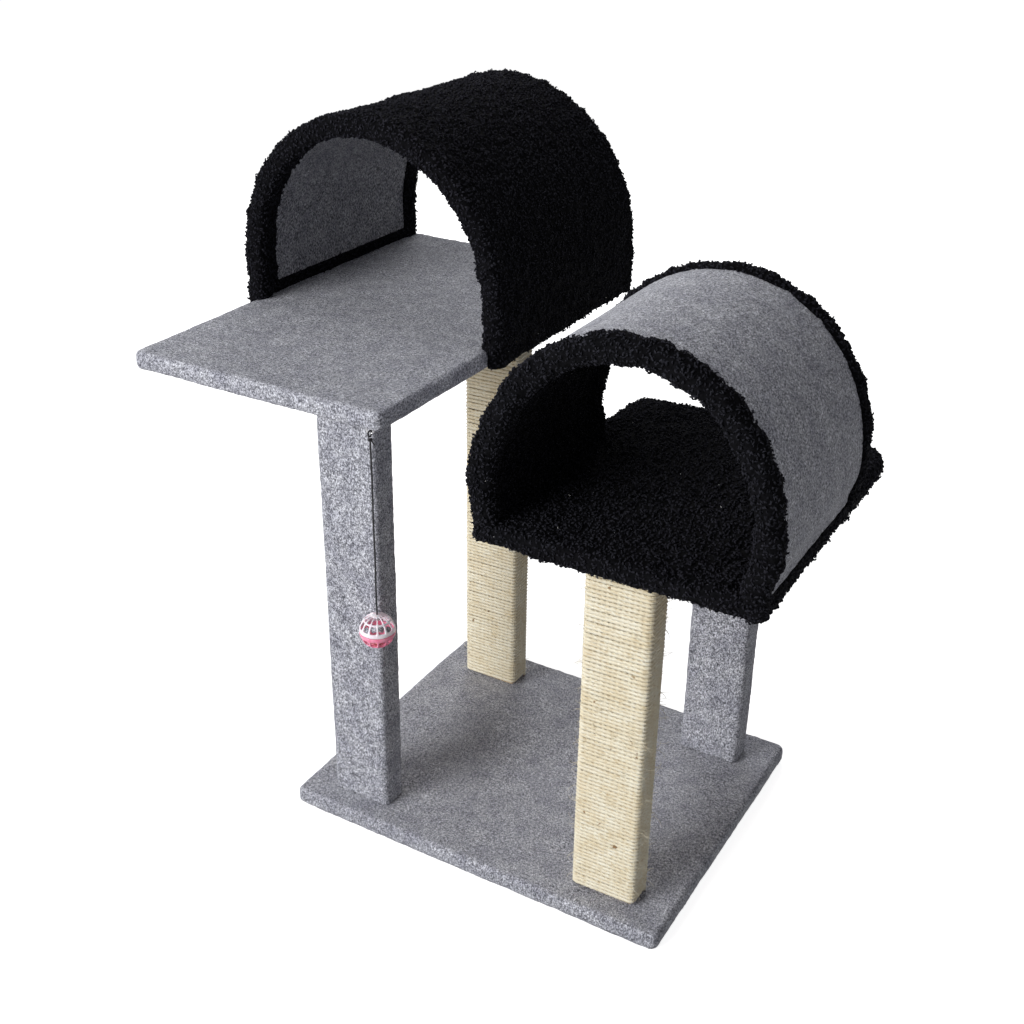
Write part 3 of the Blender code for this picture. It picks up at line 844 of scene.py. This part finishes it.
deck_half = (deck_high.x - deck_low.x) / 2
trim(made, lambda spot: abs(spot.x - deck_middle) < deck_half + 0.0004 and spot.z < deck_high.z - 0.001)
roughen(made, (0.040, 0.0014), (0.011, 0.0026), (0.006, 0.0010))
cover = piece("upper_tunnel_fleece", made, backing, ["upper_arch_sherpa"], 0.003)
curls = grow_pile("upper_tunnel_pile", cover, CURL_SPACING, 21)
foot_line = vault_line(**UPPER_VAULT, foot=deck_high.z, step=SHERPA_STEP)
profile, _ = eased([(upper_low.y + 0.026, -0.0052), (upper_high.y - 0.021, -0.0052)], SHERPA_STEP)
made = vaulted(foot_line, profile, inward=True)
trim(made, lambda spot: spot.z > lining_low.z + 0.002)
roughen(made, (0.020, 0.0008), (0.007, 0.0006))
strips = piece("upper_tunnel_foot_strips", made, backing, [], 0.002)
strip_curls = grow_pile("upper_tunnel_foot_pile", strips, CURL_SPACING, 22)

low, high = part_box("lower_board_sherpa")
inset = Vector((PILE, PILE, 0))
low, high = low + inset + Vector((0, 0, 0.0006)), high - inset - Vector((0, 0, PILE))
made, blank = wrapped_board(low, high, 0.010, 0.030, 0.0070, 0.020, SHERPA_STEP)
roughen(made, (0.050, 0.0014), (0.011, 0.0022), (0.006, 0.0010))
cover = piece("lower_deck_fleece", made, backing, ["lower_board_sherpa"], 0.003)
curls = grow_pile("lower_deck_pile", cover, CURL_SPACING, 23, lambda roots: roots[:, 2] > low.z + 0.001)

line = vault_line(**LOWER_VAULT, foot=low.z + 0.003, step=SHERPA_STEP)
front, rear = lower_low.y + PILE - 0.003, lower_high.y - PILE + 0.002
profile, across = eased(
    [
        (front + 0.021, 0.0080),
        (front + 0.017, 0.0100),
        (front + 0.004, 0.0085),
        (front - 0.001, 0.0020),
        (front, -0.0120),
        (front + 0.010, -0.0185),
        (front + 0.022, -0.0150),
        (front + 0.034, -0.0085),
        (rear - 0.036, -0.0080),
        (rear - 0.024, -0.0130),
        (rear - 0.008, -0.0165),
        (rear, -0.0100),
        (rear + 0.001, 0.0040),
        (rear - 0.003, 0.0125),
        (rear - 0.016, 0.0125),
        (rear - 0.022, 0.0080),
    ],
    SHERPA_STEP,
)
made = vaulted(line, profile, inward=True)
trim(made, lambda spot: spot.z < lower_low.z - 0.002 and spot.y > front + 0.016)
roughen(made, (0.030, 0.0022), (0.012, 0.0028), (0.006, 0.0010))
cover = piece("lower_tunnel_fleece", made, backing, ["lower_arch_sherpa"], 0.003)
curls = grow_pile("lower_tunnel_pile", cover, CURL_SPACING, 24)


# White lint on the fleece ---------------------------------------------------------------
# A few pale shreds of fibre caught in the pile of the tunnels and the lower deck.

lint, tree, shader = finish("white_lint", 0.8)
place = add(tree, "TexCoord").outputs["Object"]
thread = add(tree, "TexNoise", {"Vector": place, "Scale": 900, "Detail": 1})
tone = ramp(tree, thread.outputs["Fac"], [(0.3, (0.55, 0.54, 0.52)), (0.7, (0.86, 0.85, 0.83))])
tree.links.new(tone, shader.inputs["Base Color"])
shreds = [strand(0.0010, 2.2, 0.5, 0.00045, 0.80, 3), strand(0.0014, 1.2, -0.4, 0.00035, 0.75, 3)]
rng = random.Random(4)
places = []
for sheet_name, count in (("upper_tunnel_fleece", 11), ("lower_deck_fleece", 14), ("lower_tunnel_fleece", 6)):
    mesh = bpy.data.objects[sheet_name].data
    for _ in range(count):
        face = mesh.polygons[rng.randrange(len(mesh.polygons))]
        spot = face.center + face.normal * 0.0024
        tilt = face.normal + Vector([rng.uniform(-0.8, 0.8) for _ in range(3)])
        places.append((rng.randrange(2), standing(spot, tilt, rng.uniform(0, 6.3), rng.uniform(0.6, 1.2))))
strewn("fleece_lint", shreds, places, lint)


# Lattice ball ---------------------------------------------------------------------------
# Two moulded half shells snapped together at a plain band, white above and pink below. Twelve
# ribs run from pole to pole and a ring crosses them, with windows between.

BALL_STEPS = 6
BALL_ROWS = (4, 11, 18, 26, 35, 43, 50, 58, 66, 74, 82, 89.6)
BALL_WINDOWS = ((18, 43), (50, 74))
RIB_SHARE = 0.25
BALL_SHELL = 0.0017


def moulded(name, bright, deep, mottle):
    """Semi-gloss moulded plastic, with a soft grain and faint waves in its surface."""
    made, tree, shader = finish(name, 0.32)
    place = add(tree, "TexCoord").outputs["Object"]
    flow = add(tree, "TexNoise", {"Vector": place, "Scale": mottle, "Detail": 2})
    tone = ramp(tree, flow.outputs["Fac"], [(0.3, deep), (0.65, bright)])
    tree.links.new(tone, shader.inputs["Base Color"])
    shader.inputs["Subsurface Weight"].default_value = 0.25
    shader.inputs["Subsurface Scale"].default_value = 0.002
    shader.inputs["Subsurface Radius"].default_value = (1.0, 0.6, 0.6)
    grain = add(tree, "TexNoise", {"Vector": place, "Scale": 1400, "Detail": 1})
    wave = add(tree, "Bump", {"Height": grain.outputs["Fac"], "Strength": 0.12, "Distance": 0.0004})
    tree.links.new(wave.outputs["Normal"], shader.inputs["Normal"])
    return made


ball_low, ball_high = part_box("ball_upper_half")
ball_middle = Vector(((ball_low.x + ball_high.x) / 2, (ball_low.y + ball_high.y) / 2, ball_low.z - 0.00015))
BALL_RADIUS = (ball_high.x - ball_low.x) / 2
FACING = math.radians(-53.4)
for node_name, name, side_up, bright, deep, slot in (
    ("ball_upper_half", "ball_white_half", 1, (0.95, 0.90, 0.95), (0.92, 0.76, 0.86), "ball_white"),
    ("ball_lower_half", "ball_pink_half", -1, (0.97, 0.33, 0.48), (0.93, 0.20, 0.36), "ball_pink"),
):
    made = bmesh.new()
    columns = 12 * BALL_STEPS
    bmesh.ops.create_grid(made, x_segments=columns, y_segments=len(BALL_ROWS) - 1, size=0.5)
    waste = []
    for face in made.faces:
        spot = face.calc_center_median()
        column = int((spot.x + 0.5) * columns)
        row = int((spot.y + 0.5) * (len(BALL_ROWS) - 1))
        tall = (BALL_ROWS[row] + BALL_ROWS[row + 1]) / 2
        open_here = any(start < tall < end for start, end in BALL_WINDOWS)
        if open_here and 1 <= column % BALL_STEPS <= BALL_STEPS - 2:
            waste.append(face)
    bmesh.ops.delete(made, geom=waste, context="FACES")
    for vert in made.verts:
        column = round((vert.co.x + 0.5) * columns)
        row = round((vert.co.y + 0.5) * (len(BALL_ROWS) - 1))
        rib, part = divmod(column, BALL_STEPS)
        spread = (0, RIB_SHARE / 2, 0.34, 0.5, 0.66, 1 - RIB_SHARE / 2)[part]
        turn = FACING + (rib + spread) * math.pi / 6
        fall = math.radians(BALL_ROWS[row])
        vert.co = ball_middle + Vector(
            (
                BALL_RADIUS * math.sin(fall) * math.cos(turn),
                BALL_RADIUS * math.sin(fall) * math.sin(turn),
                side_up * BALL_RADIUS * math.cos(fall),
            )
        )
    bmesh.ops.remove_doubles(made, verts=made.verts[:], dist=0.00005)
    bmesh.ops.holes_fill(
        made,
        edges=[
            edge
            for edge in made.edges
            if edge.is_boundary
            and all(abs(vert.co.z - ball_middle.z) > BALL_RADIUS * 0.99 for vert in edge.verts)
        ],
        sides=0,
    )
    bmesh.ops.recalc_face_normals(made, faces=made.faces[:])
    outward = sum((face.calc_center_median() - ball_middle).dot(face.normal) for face in made.faces)
    if outward < 0:
        bmesh.ops.reverse_faces(made, faces=made.faces[:])
    plastic = moulded(name, bright, deep, 120)
    half_ball = piece(name, made, plastic, [node_name], BALL_SHELL, body="ball")
    smooth = half_ball.modifiers.new("rounded", "SUBSURF")
    smooth.levels = 1
    smooth.render_levels = 1


# Cord loop and knots --------------------------------------------------------------------
# The same braid passes through the staple in a loop, closed by a knot with a short tail, and
# ends in a second knot under the cap of the ball.


def knotted(name, points, thick, replaced, body, closed=False):
    """A tube of braid along points, as a mesh."""
    line = bpy.data.curves.new(name, "CURVE")
    line.dimensions = "3D"
    line.bevel_depth = thick
    line.bevel_resolution = 2
    line.use_fill_caps = True
    spline = line.splines.new("POLY")
    spline.points.add(len(points) - 1)
    for point, spot in zip(points, spline.points):
        spot.co = (*point, 1)
    spline.use_cyclic_u = closed
    coil = bpy.data.objects.new(name + "_line", line)
    scene.collection.objects.link(coil)
    bpy.context.view_layer.update()
    mesh = bpy.data.meshes.new_from_object(coil.evaluated_get(bpy.context.evaluated_depsgraph_get()))
    bpy.data.objects.remove(coil)
    made = bmesh.new()
    made.from_mesh(mesh)
    bmesh.ops.remove_doubles(made, verts=made.verts[:], dist=0.00001)
    bmesh.ops.recalc_face_normals(made, faces=made.faces[:])
    return piece(name, made, braid, replaced, body=body)


def knot_path(centre, tail):
    """A trefoil with one end of the cord standing off it."""
    points = []
    for turn in np.linspace(0, 2 * math.pi, 60)[:-1]:
        reach = 0.0013 + 0.0007 * math.cos(3 * turn)
        around = Vector((reach * math.cos(2 * turn), reach * math.sin(2 * turn), 0.0011 * math.sin(3 * turn)))
        points.append(centre + around)
    last = points[-1]
    for step in range(1, 7):
        points.append(last + Vector(tail) * step / 6 + Vector((0, 0, -0.0012 * (step / 6) ** 2)))
    return points


for node_name, body, tail in (
    ("cord_top_knot", "cord_top", (0.0045, -0.001, -0.0025)),
    ("cord_end_knot", "toy", (0.0042, 0.0022, -0.0004)),
):
    low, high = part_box(node_name)
    knotted(node_name + "_tied", knot_path((low + high) / 2, tail), 0.0008, [node_name], body)

low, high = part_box("cord_loop")
middle = (low + high) / 2
ring = []
for turn in np.linspace(0, 2 * math.pi, 33)[:-1]:
    ring.append(
        middle
        + Vector(
            (
                0.0004 * math.sin(2 * turn),
                (high.y - low.y) / 2 * 0.76 * math.cos(turn) * (0.86 - 0.14 * math.sin(turn)) / 0.86,
                (high.z - low.z) / 2 * 0.76 * math.sin(turn),
            )
        )
    )
knotted("cord_loop_tied", ring, 0.0009, ["cord_loop"], "cord_top", closed=True)


# Bell, staple and screws ----------------------------------------------------------------
# A thin pressed brass bell, a bright wire staple, and zinc-plated screws. They are the parts
# as made, with the wear of their metal in the finish.


def metal(name, bright, dull, roughness, grain, stretch=(1, 1, 1)):
    made, tree, shader = finish(name, roughness, 1.0)
    place = add(tree, "TexCoord").outputs["Object"]
    drawn = add(tree, "Mapping", {"Vector": place, "Scale": stretch}).outputs["Vector"]
    wear = add(tree, "TexNoise", {"Vector": drawn, "Scale": grain, "Detail": 4, "Roughness": 0.6})
    tone = ramp(tree, wear.outputs["Fac"], [(0.35, dull), (0.65, bright)])
    tree.links.new(tone, shader.inputs["Base Color"])
    worn = add(
        tree,
        "MapRange",
        {"Value": wear.outputs["Fac"], "To Min": roughness - 0.08, "To Max": roughness + 0.14},
    )
    tree.links.new(worn.outputs["Result"], shader.inputs["Roughness"])
    scuff = add(tree, "Bump", {"Height": wear.outputs["Fac"], "Strength": 0.1, "Distance": 0.0003})
    tree.links.new(scuff.outputs["Normal"], shader.inputs["Normal"])
    return made


brass = metal("pressed_brass", (0.80, 0.58, 0.24), (0.55, 0.38, 0.14), 0.28, 260)
wire = metal("drawn_wire", (0.66, 0.66, 0.67), (0.42, 0.42, 0.43), 0.30, 500)
zinc = metal("zinc_plate", (0.70, 0.66, 0.52), (0.48, 0.44, 0.34), 0.34, 420, (1, 1, 6))


# Boards, battens and shells -------------------------------------------------------------
# Raw particle board under the covers, planed pine inside the posts, and thin bent plywood in
# the tunnels. They show only underneath and at cut edges.

chipboard, tree, shader = finish("raw_particle_board", 0.85)
place = add(tree, "TexCoord").outputs["Object"]
chips = add(tree, "TexVoronoi", {"Vector": place, "Scale": 420, "Randomness": 1.0})
dust = add(tree, "TexNoise", {"Vector": place, "Scale": 700, "Detail": 3})
flake = add(tree, "Mix", {"Factor": 0.4, "A": chips.outputs["Distance"], "B": dust.outputs["Fac"]})
tone = ramp(
    tree,
    flake.outputs["Result"],
    [(0.15, (0.20, 0.12, 0.06)), (0.32, (0.46, 0.31, 0.17)), (0.52, (0.66, 0.49, 0.30))],
)
tree.links.new(tone, shader.inputs["Base Color"])
pits = add(tree, "Bump", {"Height": flake.outputs["Result"], "Strength": 0.35, "Distance": 0.0006})
tree.links.new(pits.outputs["Normal"], shader.inputs["Normal"])


def grained(name, stretch, stops, rings):
    """Plain sawn wood: long growth lines with fine pores along them."""
    made, tree, shader = finish(name, 0.62)
    place = add(tree, "TexCoord").outputs["Object"]
    drawn = add(tree, "Mapping", {"Vector": place, "Scale": stretch}).outputs["Vector"]
    growth = add(
        tree,
        "TexWave",
        {"Vector": drawn, "Scale": rings, "Distortion": 5, "Detail": 3, "Detail Scale": 1.4},
    )
    pores = add(tree, "TexNoise", {"Vector": drawn, "Scale": 620, "Detail": 3})
    both = add(tree, "Mix", {"Factor": 0.35, "A": growth.outputs["Fac"], "B": pores.outputs["Fac"]})
    tree.links.new(ramp(tree, both.outputs["Result"], stops), shader.inputs["Base Color"])
    rough = add(tree, "Bump", {"Height": both.outputs["Result"], "Strength": 0.2, "Distance": 0.0004})
    tree.links.new(rough.outputs["Normal"], shader.inputs["Normal"])
    return made


pine = grained("planed_pine", (1, 1, 0.06), [(0.2, (0.52, 0.34, 0.17)), (0.7, (0.78, 0.60, 0.38))], 60)
ply = grained("bent_plywood", (1, 0.08, 1), [(0.2, (0.44, 0.30, 0.17)), (0.7, (0.68, 0.52, 0.33))], 90)

for name, obj in nodes.items():
    if obj.hide_render:
        continue
    if "screw" in name:
        coat = zinc
    elif name == "bell":
        coat = brass
    elif name == "toy_staple":
        coat = wire
    elif name.endswith("_board"):
        coat = chipboard
    elif name.endswith("_post"):
        coat = pine
    elif name.endswith("_shell"):
        coat = ply
    else:
        continue
    obj.data.materials.clear()
    obj.data.materials.append(coat)
